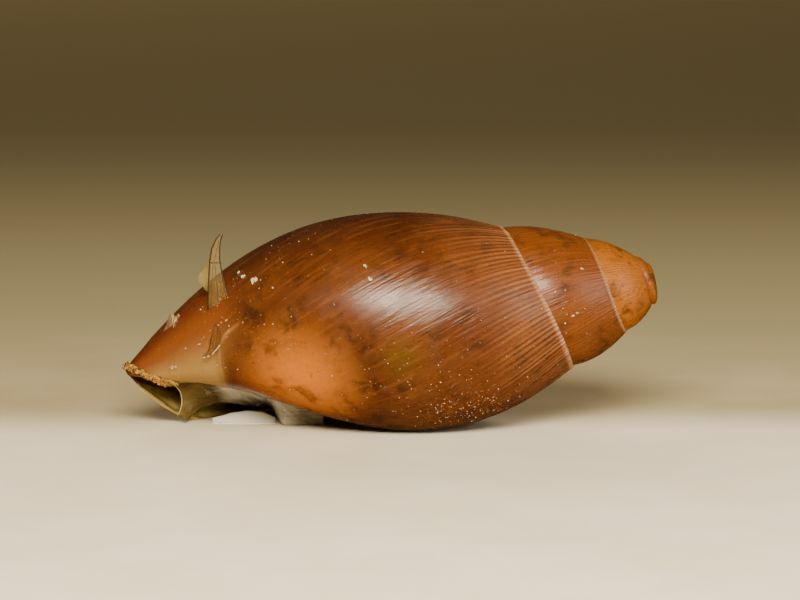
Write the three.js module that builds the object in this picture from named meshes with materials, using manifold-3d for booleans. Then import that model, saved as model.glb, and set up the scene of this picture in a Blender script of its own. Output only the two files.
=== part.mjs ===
// A land snail shell of four whorls, lying on its opening, with the dried film, insect wings and
// crumbs of dirt that are stuck to it.
//
// Millimetres, +Z up. The shell's axis runs nearly along +X, with the spire at the +X end and raised.
// The shell is a spiral sheet. A place on it has a stage, counted in whorls from the tip of the spire,
// and a distance along the axis from that tip. The fraction of the stage is the place's turn about
// the axis: 0 underneath, 0.25 on the -Y side, 0.5 on top and 0.75 on the +Y side. Every stage is one
// growth profile, from the seam it leaves on the whorl before it down to the foot of the pillar.

import * as THREE from "three";
import { mergeVertices } from "three/addons/utils/BufferGeometryUtils.js";
import Module from "manifold-3d";

// How the shell grew: radius and seam by stage.
const FIRST_RADIUS = 0.5;
const RADIUS_PER_WHORL = 1.41;
const RADIUS_GROWTH = 0.02;
const SEAM_SCALE = 0.365;
const SEAM_POWER = 2.33;
const SHOULDER_SCALE = 1.59;
const SHOULDER_POWER = 1.215;
const NUCLEUS_SEAM_RADIUS = 0.35;

// The first whorl is blunter than that: it starts wider and further forward.
const APEX_SWELL = 0.2;
const APEX_SWELL_STAGES = [0.3, 1];
const APEX_SETBACK = 0.2;
const APEX_SETBACK_STAGES = [1, 1.5];

// The third whorl is narrower and more rounded than that, so that the body whorl stands out from it.
const WAIST_STAGE = 2.25;
const WAIST_STAGES_OFF = [0.25, 0.75];
const WAIST_NARROWING = 0.34;
const WAIST_SHOULDER_PULL = 0.95;

// The seam climbs a little where it turns under the body whorl.
const SEAM_CLIMB = 0.4;
const SEAM_CLIMB_STAGE = 3.18;
const SEAM_CLIMB_REACH = 0.25;

// Where each growth profile ends at the narrow front end.
const FIRST_FOOT = 1.2;
const BODY_FOOT = 23.5;
const FOOT_POWER = 1.9;
const FRONT_TIP = 25.5;
const FRONT_NOTCH = 0.5;
const FOOT_RADIUS = 0.536;
const FRONT_ROUNDING = [2, 1.03];

// The stages at which the sheet starts, the last whorl begins, the front tip stands out and the lip
// ends.
const START_STAGE = 0.2;
const BODY_STAGE = 3;
const TIP_STAGE = 3.5;
const NOTCH_STAGE = 3.6;
const LIP_STAGE = 3.95;
const LIP_CUTBACK = 0.06;
const LOBE_START = 0.86;

// How it lies.
const AXIS_TILT = THREE.MathUtils.degToRad(10.4);
const REST_FLAT_DEPTH = 0.08;

// Walls and pillar.
const WALL = 0.3;
const WALL_AT_APEX = 0.16;
const LIP_WALL = 0.14;
const LIP_TAPER = 0.35;
const SOLID_APEX_STAGE = 1;
const SEAM_LET_IN = [0.4, 0.85];
const PILLAR_RADIUS = 0.52;
const PILLAR_TOP = 0.45;
const PILLAR_FOOT = 22.2;
const PILLAR_SIDES = 16;
const NUCLEUS_SIDES = 20;

// Fineness of the facets.
const STEPS_PER_WHORL = 28;
const SEAM_CROWDING = 1.3;
const GROUND_BLOCK = [80, 40, 10];
const SHEET_PIECES = 5;
const BACK_ROWS = 6;
const FRONT_ROWS = 9;

// The stuck pieces stand just clear of the shell.
const CLEARANCE = 0.06;
const FILM_THICKNESS = 0.08;
const FILM_FRONT = 23.1;
const FILM_BACK = 16.6;
const FILM_STAGE = 2.995;
const FILM_SAG = 0.25;
const FILM_COLUMNS = 10;
const FILM_ROWS = 4;
const WING_THICKNESS = 0.05;
const WING_STAGE = 3.42;
const WING_FRONT = 21.2;
const WING_BACK = 20.1;
const WING_HEIGHT = 3.05;
const WING_LEAN = 0.25;
const WING_TAPER = 0.9;
const FLAT_WING_STAGES = [3.27, 3.4];
const FLAT_WING_FRONT = 21.3;
const FLAT_WING_BACK = 20.35;
const FLAT_WING_CURL = 0.25;
const SCRAP_STAGE = 3.44;
const SCRAP_FRONT = 23.2;
const SCRAP_BACK = 22.5;
const SCRAP_HEIGHT = 0.45;
const CRUMB_STAGES = [3.06, 3.52];
const CRUMB_WIDTH = 0.65;
const CRUMB_HEIGHT = 0.3;

const WHOLE_TURN = 2 * Math.PI;
const MERGE_TOLERANCE = 1e-4;

const AXIS = new THREE.Vector3(Math.cos(AXIS_TILT), 0, Math.sin(AXIS_TILT));
const DOWN = new THREE.Vector3(Math.sin(AXIS_TILT), 0, -Math.cos(AXIS_TILT));
const NEAR = new THREE.Vector3(0, -1, 0);

const wasm = await Module();
wasm.setup();

// ---- The growth laws ----

const smooth = (x) => THREE.MathUtils.smoothstep(x, 0, 1);

const fade = (x, [from, to]) => 1 - smooth((x - from) / (to - from));

const waistAt = (stage) => fade(Math.abs(stage - WAIST_STAGE), WAIST_STAGES_OFF);

function widestRadius(stage) {
  const swell = APEX_SWELL * fade(stage, APEX_SWELL_STAGES) - WAIST_NARROWING * waistAt(stage);
  return FIRST_RADIUS + RADIUS_PER_WHORL * stage + RADIUS_GROWTH * stage ** 2 + swell;
}

function seamAt(stage) {
  const setback = APEX_SETBACK * fade(stage, APEX_SETBACK_STAGES);
  const climb = SEAM_CLIMB * fade(Math.abs(stage - SEAM_CLIMB_STAGE), [0, SEAM_CLIMB_REACH]);
  return SEAM_SCALE * stage ** SEAM_POWER + setback - climb;
}

const shoulderAt = (stage) =>
  seamAt(stage) + SHOULDER_SCALE * stage ** SHOULDER_POWER - WAIST_SHOULDER_PULL * waistAt(stage);

function footAt(stage) {
  if (stage < BODY_STAGE) {
    return FIRST_FOOT + (BODY_FOOT - FIRST_FOOT) * (stage / BODY_STAGE) ** FOOT_POWER;
  }
  const tip = smooth((stage - BODY_STAGE) / (TIP_STAGE - BODY_STAGE));
  const notch = smooth((stage - NOTCH_STAGE) / (LIP_STAGE - NOTCH_STAGE));
  return BODY_FOOT + (FRONT_TIP - BODY_FOOT) * tip - FRONT_NOTCH * notch;
}

function seamRadius(stage) {
  if (stage < 1) {
    return stage * NUCLEUS_SEAM_RADIUS;
  }
  return radiusAt(Math.max(stage - 1, START_STAGE), seamAt(stage));
}

// The sheet's outer radius: a rising curve from the seam to the widest place, and a falling one from
// there to the foot.
function radiusAt(stage, along) {
  const widest = widestRadius(stage);
  const shoulder = shoulderAt(stage);
  if (along < shoulder) {
    const seam = seamRadius(stage);
    const back = (shoulder - along) / (shoulder - seamAt(stage));
    const power = 0.5 + 0.5 * smooth(stage / 1.5);
    return seam + (widest - seam) * (1 - Math.min(back, 1) ** 2) ** power;
  }
  const front = Math.min((along - shoulder) / (footAt(stage) - shoulder), 1);
  const bend = smooth((stage - BODY_STAGE) / (TIP_STAGE - BODY_STAGE));
  const power = THREE.MathUtils.lerp(...FRONT_ROUNDING, bend);
  return FOOT_RADIUS + (widest - FOOT_RADIUS) * (1 - front ** 2) ** power;
}

function wallAt(stage) {
  const grown = THREE.MathUtils.lerp(WALL_AT_APEX, WALL, smooth(stage / BODY_STAGE));
  return THREE.MathUtils.lerp(LIP_WALL, grown, smooth((LIP_STAGE - stage) / LIP_TAPER));
}

// A point at a distance along the axis from the apex, a radius from it and a turn about it. The apex
// is the origin here.
function place(along, radius, turn) {
  const angle = WHOLE_TURN * turn;
  return new THREE.Vector3()
    .addScaledVector(AXIS, -along)
    .addScaledVector(DOWN, radius * Math.cos(angle))
    .addScaledVector(NEAR, radius * Math.sin(angle));
}

// A point a given height above the outer surface, square to the growth profile.
function onSurface(stage, along, height = 0) {
  const step = 0.01;
  const slope = (radiusAt(stage, along + step) - radiusAt(stage, along - step)) / (2 * step);
  const length = Math.hypot(1, slope);
  const radius = radiusAt(stage, along) + height / length;
  return place(along - (height * slope) / length, radius, stage);
}

// ---- Closed sheets ----

// One closed geometry between two grids of points with the same rows and columns.
function closedSheet(outer, inner) {
  const rows = outer.length;
  const columns = outer[0].length;
  const points = [...outer.flat(), ...inner.flat()];
  const index = [];
  const quad = (a, b, c, d) => index.push(a, b, c, a, c, d);
  const top = (row, column) => row * columns + column;
  const bottom = (row, column) => rows * columns + top(row, column);
  for (let row = 0; row < rows - 1; row += 1) {
    for (let column = 0; column < columns - 1; column += 1) {
      const next = column + 1;
      quad(top(row, column), top(row, next), top(row + 1, next), top(row + 1, column));
      quad(bottom(row, column), bottom(row + 1, column), bottom(row + 1, next), bottom(row, next));
    }
  }
  for (let row = 0; row < rows - 1; row += 1) {
    const last = columns - 1;
    quad(top(row, 0), top(row + 1, 0), bottom(row + 1, 0), bottom(row, 0));
    quad(top(row, last), bottom(row, last), bottom(row + 1, last), top(row + 1, last));
  }
  for (let column = 0; column < columns - 1; column += 1) {
    const last = rows - 1;
    quad(top(0, column), bottom(0, column), bottom(0, column + 1), top(0, column + 1));
    quad(top(last, column), top(last, column + 1), bottom(last, column + 1), bottom(last, column));
  }
  const geometry = new THREE.BufferGeometry().setFromPoints(points);
  geometry.setIndex(index);
  return geometry;
}

// A closed sheet of even thickness about a grid of middle points.
function thickened(middle, thickness) {
  const normalAt = (row, column) => {
    const rowBack = middle[Math.max(row - 1, 0)][column];
    const rowOn = middle[Math.min(row + 1, middle.length - 1)][column];
    const columnBack = middle[row][Math.max(column - 1, 0)];
    const columnOn = middle[row][Math.min(column + 1, middle[row].length - 1)];
    const down = rowOn.clone().sub(rowBack);
    const across = columnOn.clone().sub(columnBack);
    return across.cross(down).normalize();
  };
  const shifted = (distance) =>
    middle.map((line, row) =>
      line.map((point, column) => point.clone().addScaledVector(normalAt(row, column), distance)),
    );
  return closedSheet(shifted(thickness / 2), shifted(-thickness / 2));
}

const span = (count, make) => Array.from({ length: count + 1 }, (_, step) => make(step / count));

// ---- Solids ----

function solid(geometry) {
  const bare = geometry.index ? geometry.toNonIndexed() : geometry;
  const onlyPlaces = new THREE.BufferGeometry();
  onlyPlaces.setAttribute("position", bare.getAttribute("position"));
  const merged = mergeVertices(onlyPlaces, MERGE_TOLERANCE);
  const mesh = new wasm.Mesh({
    numProp: 3,
    vertProperties: merged.attributes.position.array,
    triVerts: new Uint32Array(merged.index.array),
  });
  const made = new wasm.Manifold(mesh);
  if (made.volume() <= 0) {
    throw new Error("a solid is inside out");
  }
  return made;
}

function geometryOf(made) {
  const mesh = made.getMesh();
  const geometry = new THREE.BufferGeometry();
  geometry.setAttribute("position", new THREE.BufferAttribute(new Float32Array(mesh.vertProperties), 3));
  geometry.setIndex(new THREE.BufferAttribute(new Uint32Array(mesh.triVerts), 1));
  return geometry;
}

// ---- The shell ----

// The distance along the axis of one row of a profile. The rows run from the foot to the seam, and
// lie closer together near the seam.
function rowPlace(stage, row) {
  const shoulder = shoulderAt(stage);
  if (row <= FRONT_ROWS) {
    return THREE.MathUtils.lerp(footAt(stage), shoulder, row / FRONT_ROWS);
  }
  const part = (FRONT_ROWS + BACK_ROWS - row) / BACK_ROWS;
  return THREE.MathUtils.lerp(seamAt(stage), shoulder, part ** SEAM_CROWDING);
}

// The stage at which the lip ends in this row. The lip runs on a little around its front lobe.
function lipStage(row) {
  const forward = rowPlace(LIP_STAGE, row) / footAt(LIP_STAGE);
  return LIP_STAGE - LIP_CUTBACK * (1 - smooth((forward - LOBE_START) / (1 - LOBE_START)));
}

// The outer and inner points of the sheet. The first whorl is solid, and each seam is let into the
// wall of the whorl before it.
function sheetPoints(stage, row) {
  const along = rowPlace(stage, row);
  if (stage < SOLID_APEX_STAGE) {
    const core = Math.min(radiusAt(stage, along), PILLAR_RADIUS) / 2;
    return [onSurface(stage, along), place(along, core, stage)];
  }
  if (row === BACK_ROWS + FRONT_ROWS) {
    const depths = SEAM_LET_IN.map((part) => part * wallAt(stage - 1));
    return depths.map((depth) => place(along, seamRadius(stage) - depth, stage));
  }
  return [onSurface(stage, along), onSurface(stage, along, -wallAt(stage))];
}

// One piece of the spiral sheet, between two stages less than a whorl apart.
function sheetPiece(from, to) {
  const steps = Math.round((to - from) * STEPS_PER_WHORL);
  const isLast = to > LIP_STAGE - MERGE_TOLERANCE;
  const lines = span(steps, (part) =>
    span(BACK_ROWS + FRONT_ROWS, (rowPart) => {
      const row = Math.round(rowPart * (BACK_ROWS + FRONT_ROWS));
      const end = isLast ? lipStage(row) : to;
      return sheetPoints(THREE.MathUtils.lerp(from, end, part), row);
    }),
  );
  const outer = lines.map((line) => line.map(([outside]) => outside));
  const inner = lines.map((line) => line.map(([, inside]) => inside));
  return solid(closedSheet(outer, inner));
}

// A solid of revolution about the shell's axis, from radii and distances along it.
function turned(profile, sides) {
  const points = profile.map(([radius, along]) => new THREE.Vector2(radius, along));
  const toAxis = new THREE.Quaternion().setFromUnitVectors(
    new THREE.Vector3(0, 1, 0),
    AXIS.clone().negate(),
  );
  return solid(new THREE.LatheGeometry(points, sides).applyQuaternion(toAxis));
}

function pillar() {
  const bevel = PILLAR_RADIUS / 2;
  return turned(
    [
      [0, PILLAR_TOP],
      [bevel, PILLAR_TOP],
      [PILLAR_RADIUS, PILLAR_TOP + bevel],
      [PILLAR_RADIUS, PILLAR_FOOT - PILLAR_RADIUS],
      [bevel, PILLAR_FOOT],
      [0, PILLAR_FOOT],
    ],
    PILLAR_SIDES,
  );
}

// The rounded first part of the shell: the profile that the spiral starts from, turned all the way
// round.
function nucleus() {
  const rows = span(BACK_ROWS + FRONT_ROWS, (part) => part * (BACK_ROWS + FRONT_ROWS)).reverse();
  const profile = rows.map((row) => {
    const along = rowPlace(START_STAGE, row);
    return [radiusAt(START_STAGE, along), along];
  });
  const ends = [seamAt(START_STAGE), footAt(START_STAGE)];
  return turned([[0, ends[0]], ...profile, [0, ends[1]]], NUCLEUS_SIDES);
}

// The height at which the body whorl's underside is worn flat. It is the ground.
function groundHeight() {
  const shoulder = shoulderAt(BODY_STAGE);
  const heights = span(STEPS_PER_WHORL, (part) => {
    const along = THREE.MathUtils.lerp(shoulder, footAt(BODY_STAGE), part / 2);
    return onSurface(BODY_STAGE, along).z;
  });
  return Math.min(...heights) + REST_FLAT_DEPTH;
}

const GROUND = groundHeight();

function shellSolid() {
  const length = (LIP_STAGE - START_STAGE) / SHEET_PIECES;
  let whole = pillar().add(nucleus());
  for (let piece = 0; piece < SHEET_PIECES; piece += 1) {
    const from = START_STAGE + piece * length;
    whole = whole.add(sheetPiece(from, from + length));
  }
  const below = new THREE.BoxGeometry(...GROUND_BLOCK);
  below.translate(0, 0, GROUND - GROUND_BLOCK[2] / 2);
  // Any small closed hollow beside the first whorl is filled: only the outer body is kept.
  const bodies = whole.subtract(solid(below)).decompose();
  return bodies.reduce((kept, body) => (body.volume() > kept.volume() ? body : kept));
}

// ---- What is stuck to the shell ----

// The stage at which the last whorl meets the ground, or the lip's own end where it stays above it.
function contactStage(along) {
  let free = TIP_STAGE;
  let low = LIP_STAGE;
  for (let halving = 0; halving < 20; halving += 1) {
    const middle = (free + low) / 2;
    if (onSurface(middle, along).z > GROUND) {
      free = middle;
    } else {
      low = middle;
    }
  }
  return free;
}

// The dried film across the front of the opening, from the pillar's side to the lip.
function filmGeometry() {
  const lift = CLEARANCE + FILM_THICKNESS;
  const columns = span(FILM_COLUMNS, (part) => {
    const along = THREE.MathUtils.lerp(FILM_BACK, FILM_FRONT, part);
    const top = onSurface(FILM_STAGE, along, lift);
    const stage = contactStage(along);
    const bottom = onSurface(stage - 0.01, along, -wallAt(stage) - lift);
    bottom.z = Math.max(bottom.z, GROUND + FILM_THICKNESS);
    return [top, bottom];
  });
  const rows = span(FILM_ROWS, (part) =>
    columns.map(([top, bottom]) => {
      const point = top.clone().lerp(bottom, part);
      point.z += FILM_SAG * Math.sin(Math.PI * part);
      return point;
    }),
  );
  return thickened(rows, FILM_THICKNESS);
}

// An insect's wing that stands on the back, on its torn root, with its tip leaning towards the spire.
function uprightWingGeometry() {
  const rows = span(8, (rise) =>
    span(4, (across) => {
      const narrowed = WING_TAPER * rise ** 1.5;
      const along = THREE.MathUtils.lerp(WING_FRONT, WING_BACK, narrowed + across * (1 - narrowed));
      const point = onSurface(WING_STAGE, along, CLEARANCE + WING_THICKNESS);
      point.z += WING_HEIGHT * rise;
      point.y += WING_LEAN * rise ** 2;
      return point;
    }),
  );
  return thickened(rows, WING_THICKNESS);
}

// A patch that follows the outer surface, between stages and between distances along the axis, with
// heights given by how far round and how far back a point is.
function patch(stages, front, back, lowerHeight, upperHeight, counts = [8, 4]) {
  const grid = (heightAt) =>
    span(counts[0], (round) =>
      span(counts[1], (behind) => {
        const stage = THREE.MathUtils.lerp(...stages, round);
        const along = THREE.MathUtils.lerp(front(stage), back(stage), behind);
        return onSurface(stage, along, heightAt(round, behind));
      }),
    );
  return closedSheet(grid(upperHeight), grid(lowerHeight));
}

// A second wing, lying flat on the -Y side with its lower end curled up.
function flatWingGeometry() {
  const curl = (round) => CLEARANCE + FLAT_WING_CURL * (1 - round) ** 3;
  return patch(
    FLAT_WING_STAGES,
    () => FLAT_WING_FRONT,
    () => FLAT_WING_BACK,
    curl,
    (round) => curl(round) + WING_THICKNESS,
  );
}

// A torn piece of wing, lifted along its front edge.
function scrapGeometry() {
  const half = 0.03;
  const lift = (round, behind) => CLEARANCE + SCRAP_HEIGHT * (1 - behind) * round;
  return patch(
    [SCRAP_STAGE - half, SCRAP_STAGE + half],
    () => SCRAP_FRONT,
    () => SCRAP_BACK,
    lift,
    (round, behind) => lift(round, behind) + WING_THICKNESS,
    [3, 3],
  );
}

// Crumbs of dirt caked along the front edge.
function crumbGeometry() {
  const lumps = (round, behind) => {
    const swell = 0.7 + 0.3 * Math.sin(23 * round) * Math.cos(9 * behind + 4 * round);
    const edge = Math.min(1, 3 * (1 - behind), 6 * round, 6 * (1 - round));
    return CLEARANCE + 0.04 + CRUMB_HEIGHT * swell * edge;
  };
  return patch(
    CRUMB_STAGES,
    (stage) => footAt(stage) - 0.03,
    (stage) => footAt(stage) - CRUMB_WIDTH,
    () => CLEARANCE,
    lumps,
    [16, 6],
  );
}

// ---- The object ----

function look(color, roughness, opacity = 1) {
  const transparent = opacity < 1;
  return new THREE.MeshStandardMaterial({ color, roughness, metalness: 0, opacity, transparent });
}

const object = new THREE.Group();

function add(name, geometry, material) {
  const mesh = new THREE.Mesh(geometry, material);
  mesh.name = name;
  object.add(mesh);
}

add("shell", geometryOf(shellSolid()), look("#9c4a1c", 0.25));
add("mucus_film", filmGeometry(), look("#8a7f63", 0.3, 0.6));
add("upright_wing", uprightWingGeometry(), look("#7d6a3a", 0.35, 0.6));
add("flat_wing", flatWingGeometry(), look("#8c6a3a", 0.35, 0.5));
add("wing_scrap", scrapGeometry(), look("#6b4a26", 0.5));
add("tip_crumb", crumbGeometry(), look("#b88a3c", 0.85));

// The part's origin is the middle of its box, on the ground.
const box = new THREE.Box3().setFromObject(object);
const middle = box.getCenter(new THREE.Vector3());
object.position.set(-middle.x, -middle.y, -GROUND);

export default object;
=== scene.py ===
"""A land snail shell of four whorls lying on its opening, with a dried film, wing scraps and dirt.

Lengths are in millimetres until a mesh is made, when they become metres. A place on the shell has a
stage, counted in whorls from the apex, and a distance along the axis from the apex. The fraction of
the stage is the turn about the axis: 0 underneath, 0.25 on the near side (-Y), 0.5 on top. The
growth laws are the CAD model's own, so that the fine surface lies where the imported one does.
"""

import math

import bpy
import numpy as np
from mathutils import Matrix, Vector


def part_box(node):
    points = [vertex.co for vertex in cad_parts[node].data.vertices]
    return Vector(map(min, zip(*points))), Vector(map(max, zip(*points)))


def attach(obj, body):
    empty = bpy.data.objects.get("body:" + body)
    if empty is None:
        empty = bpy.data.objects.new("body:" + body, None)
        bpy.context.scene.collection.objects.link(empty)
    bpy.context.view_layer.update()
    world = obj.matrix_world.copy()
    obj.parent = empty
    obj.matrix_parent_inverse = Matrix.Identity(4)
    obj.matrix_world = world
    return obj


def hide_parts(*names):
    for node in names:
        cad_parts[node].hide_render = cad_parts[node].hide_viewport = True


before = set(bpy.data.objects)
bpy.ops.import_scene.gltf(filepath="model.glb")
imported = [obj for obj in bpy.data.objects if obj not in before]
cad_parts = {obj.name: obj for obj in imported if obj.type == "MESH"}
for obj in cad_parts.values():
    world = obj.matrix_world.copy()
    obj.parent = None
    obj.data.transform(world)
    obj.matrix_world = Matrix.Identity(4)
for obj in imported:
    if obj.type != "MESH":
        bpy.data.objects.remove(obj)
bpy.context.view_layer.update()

MM = 0.001

# ---- Growth laws, as in the CAD model ----

AXIS_TILT = math.radians(10.4)
REST_FLAT_DEPTH = 0.08
FIRST_RADIUS, RADIUS_PER_WHORL, RADIUS_GROWTH = 0.5, 1.41, 0.02
SEAM_SCALE, SEAM_POWER = 0.365, 2.33
SHOULDER_SCALE, SHOULDER_POWER = 1.59, 1.215
NUCLEUS_SEAM_RADIUS = 0.35
START_STAGE, BODY_STAGE, TIP_STAGE, NOTCH_STAGE, LIP_STAGE = 0.2, 3.0, 3.5, 3.6, 3.95
LIP_CUTBACK, LOBE_START = 0.06, 0.86
FIRST_FOOT, BODY_FOOT, FRONT_TIP, FRONT_NOTCH = 1.2, 23.5, 25.5, 0.5
FOOT_POWER, FOOT_RADIUS = 1.9, 0.536
FRONT_ROUNDING = (2.0, 1.03)
WALL_AT_APEX, WALL, LIP_WALL, LIP_TAPER = 0.16, 0.3, 0.14, 0.35
SEAM_EMBED = 0.06
PILLAR_RADIUS = 0.52
APEX_SWELL, APEX_SWELL_STAGES = 0.2, (0.3, 1.0)
APEX_SETBACK, APEX_SETBACK_STAGES = 0.2, (1.0, 1.5)
SEAM_CLIMB, SEAM_CLIMB_STAGE, SEAM_CLIMB_REACH = 0.4, 3.18, 0.25
WAIST_STAGE, WAIST_STAGES_OFF = 2.25, (0.25, 0.75)
WAIST_NARROWING, WAIST_SHOULDER_PULL = 0.34, 0.95

AXIS = np.array([math.cos(AXIS_TILT), 0.0, math.sin(AXIS_TILT)])
DOWN = np.array([math.sin(AXIS_TILT), 0.0, -math.cos(AXIS_TILT)])
NEAR = np.array([0.0, -1.0, 0.0])


def smooth(x):
    x = np.clip(x, 0.0, 1.0)
    return x * x * (3.0 - 2.0 * x)


def lerp(a, b, part):
    return a + (b - a) * part


def fade(x, low, high):
    """1 below the low end, easing to 0 at the high end."""
    return 1.0 - smooth((x - low) / (high - low))


def waist_at(stage):
    return fade(np.abs(stage - WAIST_STAGE), *WAIST_STAGES_OFF)


def widest_radius(stage):
    swell = APEX_SWELL * fade(stage, *APEX_SWELL_STAGES) - WAIST_NARROWING * waist_at(stage)
    return FIRST_RADIUS + RADIUS_PER_WHORL * stage + RADIUS_GROWTH * stage**2 + swell


def seam_at(stage):
    setback = APEX_SETBACK * fade(stage, *APEX_SETBACK_STAGES)
    climb = SEAM_CLIMB * fade(np.abs(stage - SEAM_CLIMB_STAGE), 0.0, SEAM_CLIMB_REACH)
    return SEAM_SCALE * stage**SEAM_POWER + setback - climb


def shoulder_at(stage):
    pull = WAIST_SHOULDER_PULL * waist_at(stage)
    return seam_at(stage) + SHOULDER_SCALE * stage**SHOULDER_POWER - pull


def foot_at(stage):
    early = FIRST_FOOT + (BODY_FOOT - FIRST_FOOT) * (stage / BODY_STAGE) ** FOOT_POWER
    tip = smooth((stage - BODY_STAGE) / (TIP_STAGE - BODY_STAGE))
    notch = smooth((stage - NOTCH_STAGE) / (LIP_STAGE - NOTCH_STAGE))
    late = BODY_FOOT + (FRONT_TIP - BODY_FOOT) * tip - FRONT_NOTCH * notch
    return np.where(stage < BODY_STAGE, early, late)


def seam_radius(stage):
    stage = np.atleast_1d(stage)
    radius = NUCLEUS_SEAM_RADIUS * stage
    on_whorl = stage >= 1.0
    if on_whorl.any():
        below = np.maximum(stage[on_whorl] - 1.0, START_STAGE)
        radius[on_whorl] = radius_at(below, seam_at(stage[on_whorl]))
    return radius


def radius_at(stage, along):
    stage, along = (np.atleast_1d(a) for a in np.broadcast_arrays(stage, along))
    widest, shoulder, seam = widest_radius(stage), shoulder_at(stage), seam_at(stage)
    start = seam_radius(stage)
    back = np.clip((shoulder - along) / (shoulder - seam), 0.0, 1.0)
    rising = start + (widest - start) * (1.0 - back**2) ** (0.5 + 0.5 * smooth(stage / 1.5))
    front = np.clip((along - shoulder) / (foot_at(stage) - shoulder), 0.0, 1.0)
    bend = smooth((stage - BODY_STAGE) / (TIP_STAGE - BODY_STAGE))
    power = lerp(*FRONT_ROUNDING, bend)
    falling = FOOT_RADIUS + (widest - FOOT_RADIUS) * (1.0 - front**2) ** power
    return np.where(along < shoulder, rising, falling)


def wall_at(stage):
    grown = lerp(WALL_AT_APEX, WALL, smooth(stage / BODY_STAGE))
    return lerp(LIP_WALL, grown, smooth((LIP_STAGE - stage) / LIP_TAPER))


def place(along, radius, stage):
    """Points from the apex, in the object's directions."""
    angle = 2.0 * math.pi * stage
    down, near = radius * np.cos(angle), radius * np.sin(angle)
    return -along[..., None] * AXIS + down[..., None] * DOWN + near[..., None] * NEAR


def on_surface(stage, along, height=0.0):
    """Points a height above the outer surface, square to the growth profile."""
    stage, along, height = (np.array(a, float) for a in np.broadcast_arrays(stage, along, height))
    step = 0.01
    slope = (radius_at(stage, along + step) - radius_at(stage, along - step)) / (2.0 * step)
    length = np.hypot(1.0, slope)
    return place(along - height * slope / length, radius_at(stage, along) + height / length, stage)


def ground_height():
    part = np.linspace(0.0, 0.5, 200)
    along = lerp(shoulder_at(BODY_STAGE), foot_at(BODY_STAGE), part)
    return on_surface(BODY_STAGE, along)[:, 2].min() + REST_FLAT_DEPTH


GROUND = ground_height()


def contact_stage(along):
    """The stage at which the last whorl meets the ground, or the lip's own end above it."""
    along = np.asarray(along, float)
    free, low = np.full(along.shape, TIP_STAGE), np.full(along.shape, LIP_STAGE)
    for _ in range(24):
        middle = (free + low) / 2.0
        above = on_surface(middle, along)[..., 2] > GROUND
        free, low = np.where(above, middle, free), np.where(above, low, middle)
    return free


def lip_stage(part):
    """The lip's end in a row that lies this part of the way from the seam to the foot."""
    along = lerp(seam_at(LIP_STAGE), foot_at(LIP_STAGE), part)
    lobe = smooth((along / foot_at(LIP_STAGE) - LOBE_START) / (1.0 - LOBE_START))
    return np.minimum(LIP_STAGE - LIP_CUTBACK * (1.0 - lobe), contact_stage(along))


# ---- From the growth laws' origin, the apex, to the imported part's frame ----


def frame_shift():
    """The move that lays the fine shell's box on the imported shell's."""
    stage, part = np.meshgrid(np.linspace(START_STAGE, 3.88, 500), np.linspace(0.0, 1.0, 120))
    spots = on_surface(stage, lerp(seam_at(stage), foot_at(stage), part)).reshape(-1, 3)
    low, high = (np.array(corner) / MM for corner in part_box("shell"))
    shift = (low + high) / 2.0 - (spots.min(axis=0) + spots.max(axis=0)) / 2.0
    shift[2] = -GROUND
    return shift


SHIFT = frame_shift()


def waves(seed, lowest, highest, count=12):
    """A smooth random function of one value, within about -1 to 1."""
    draw = np.random.default_rng(seed)
    rates = np.exp(draw.uniform(math.log(lowest), math.log(highest), count))
    phases = draw.uniform(0.0, 2.0 * math.pi, count)
    weights = draw.uniform(0.5, 1.0, count)
    weights /= np.sqrt((weights**2).sum() / 2.0) * 1.8

    def value(x):
        total = 0.0
        for rate, phase, weight in zip(rates, phases, weights):
            total = total + weight * np.sin(rate * x + phase)
        return total

    return value


# ---- Meshes ----


class Build:
    """Gathers points, faces and per-point values, then makes one object of them."""

    def __init__(self):
        self.points, self.faces, self.values, self.looks = [], [], {}, []
        self.count = 0

    def add(self, points, faces, look=0, **values):
        points = np.asarray(points, float).reshape(-1, 3)
        faces = np.asarray(faces, int) + self.count
        self.points.append(points)
        self.faces.append(faces)
        self.looks.append(np.full(len(faces), look))
        for name in set(self.values) | set(values):
            column = self.values.setdefault(name, [np.zeros(self.count)])
            given = np.asarray(values.get(name, 0.0), float).reshape(-1)
            column.append(np.broadcast_to(given, len(points)))
        self.count += len(points)

    def object(self, name, materials):
        mesh = bpy.data.meshes.new(name)
        points = np.concatenate(self.points) + SHIFT
        corners = [face for group in self.faces for face in group.tolist()]
        mesh.from_pydata((points * MM).tolist(), [], corners)
        for value_name, columns in self.values.items():
            layer = mesh.attributes.new(value_name, "FLOAT", "POINT")
            layer.data.foreach_set("value", np.concatenate(columns).astype(np.float32))
        for material in materials:
            mesh.materials.append(material)
        mesh.polygons.foreach_set("material_index", np.concatenate(self.looks).astype(np.int32))
        mesh.polygons.foreach_set("use_smooth", np.ones(len(mesh.polygons), bool))
        mesh.update()
        piece = bpy.data.objects.new(name, mesh)
        bpy.context.scene.collection.objects.link(piece)
        return piece


def grid_faces(rows, columns, flip=False):
    row, column = np.meshgrid(np.arange(rows - 1), np.arange(columns - 1), indexing="ij")
    first = (row * columns + column).reshape(-1)
    faces = np.stack([first, first + 1, first + columns + 1, first + columns], axis=1)
    return faces[:, ::-1] if flip else faces


def zip_faces(side, side_parts, other, other_parts):
    """Triangles between two lines of points whose counts differ, matched by their parts, 0 to 1."""
    faces, i, j = [], 0, 0
    last_i, last_j = len(side) - 1, len(other) - 1
    while i < last_i or j < last_j:
        if j == last_j or (i < last_i and side_parts[i + 1] <= other_parts[j + 1]):
            faces.append((side[i], side[i + 1], other[j]))
            i += 1
        else:
            faces.append((side[i], other[j + 1], other[j]))
            j += 1
    return np.array(faces)


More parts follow.
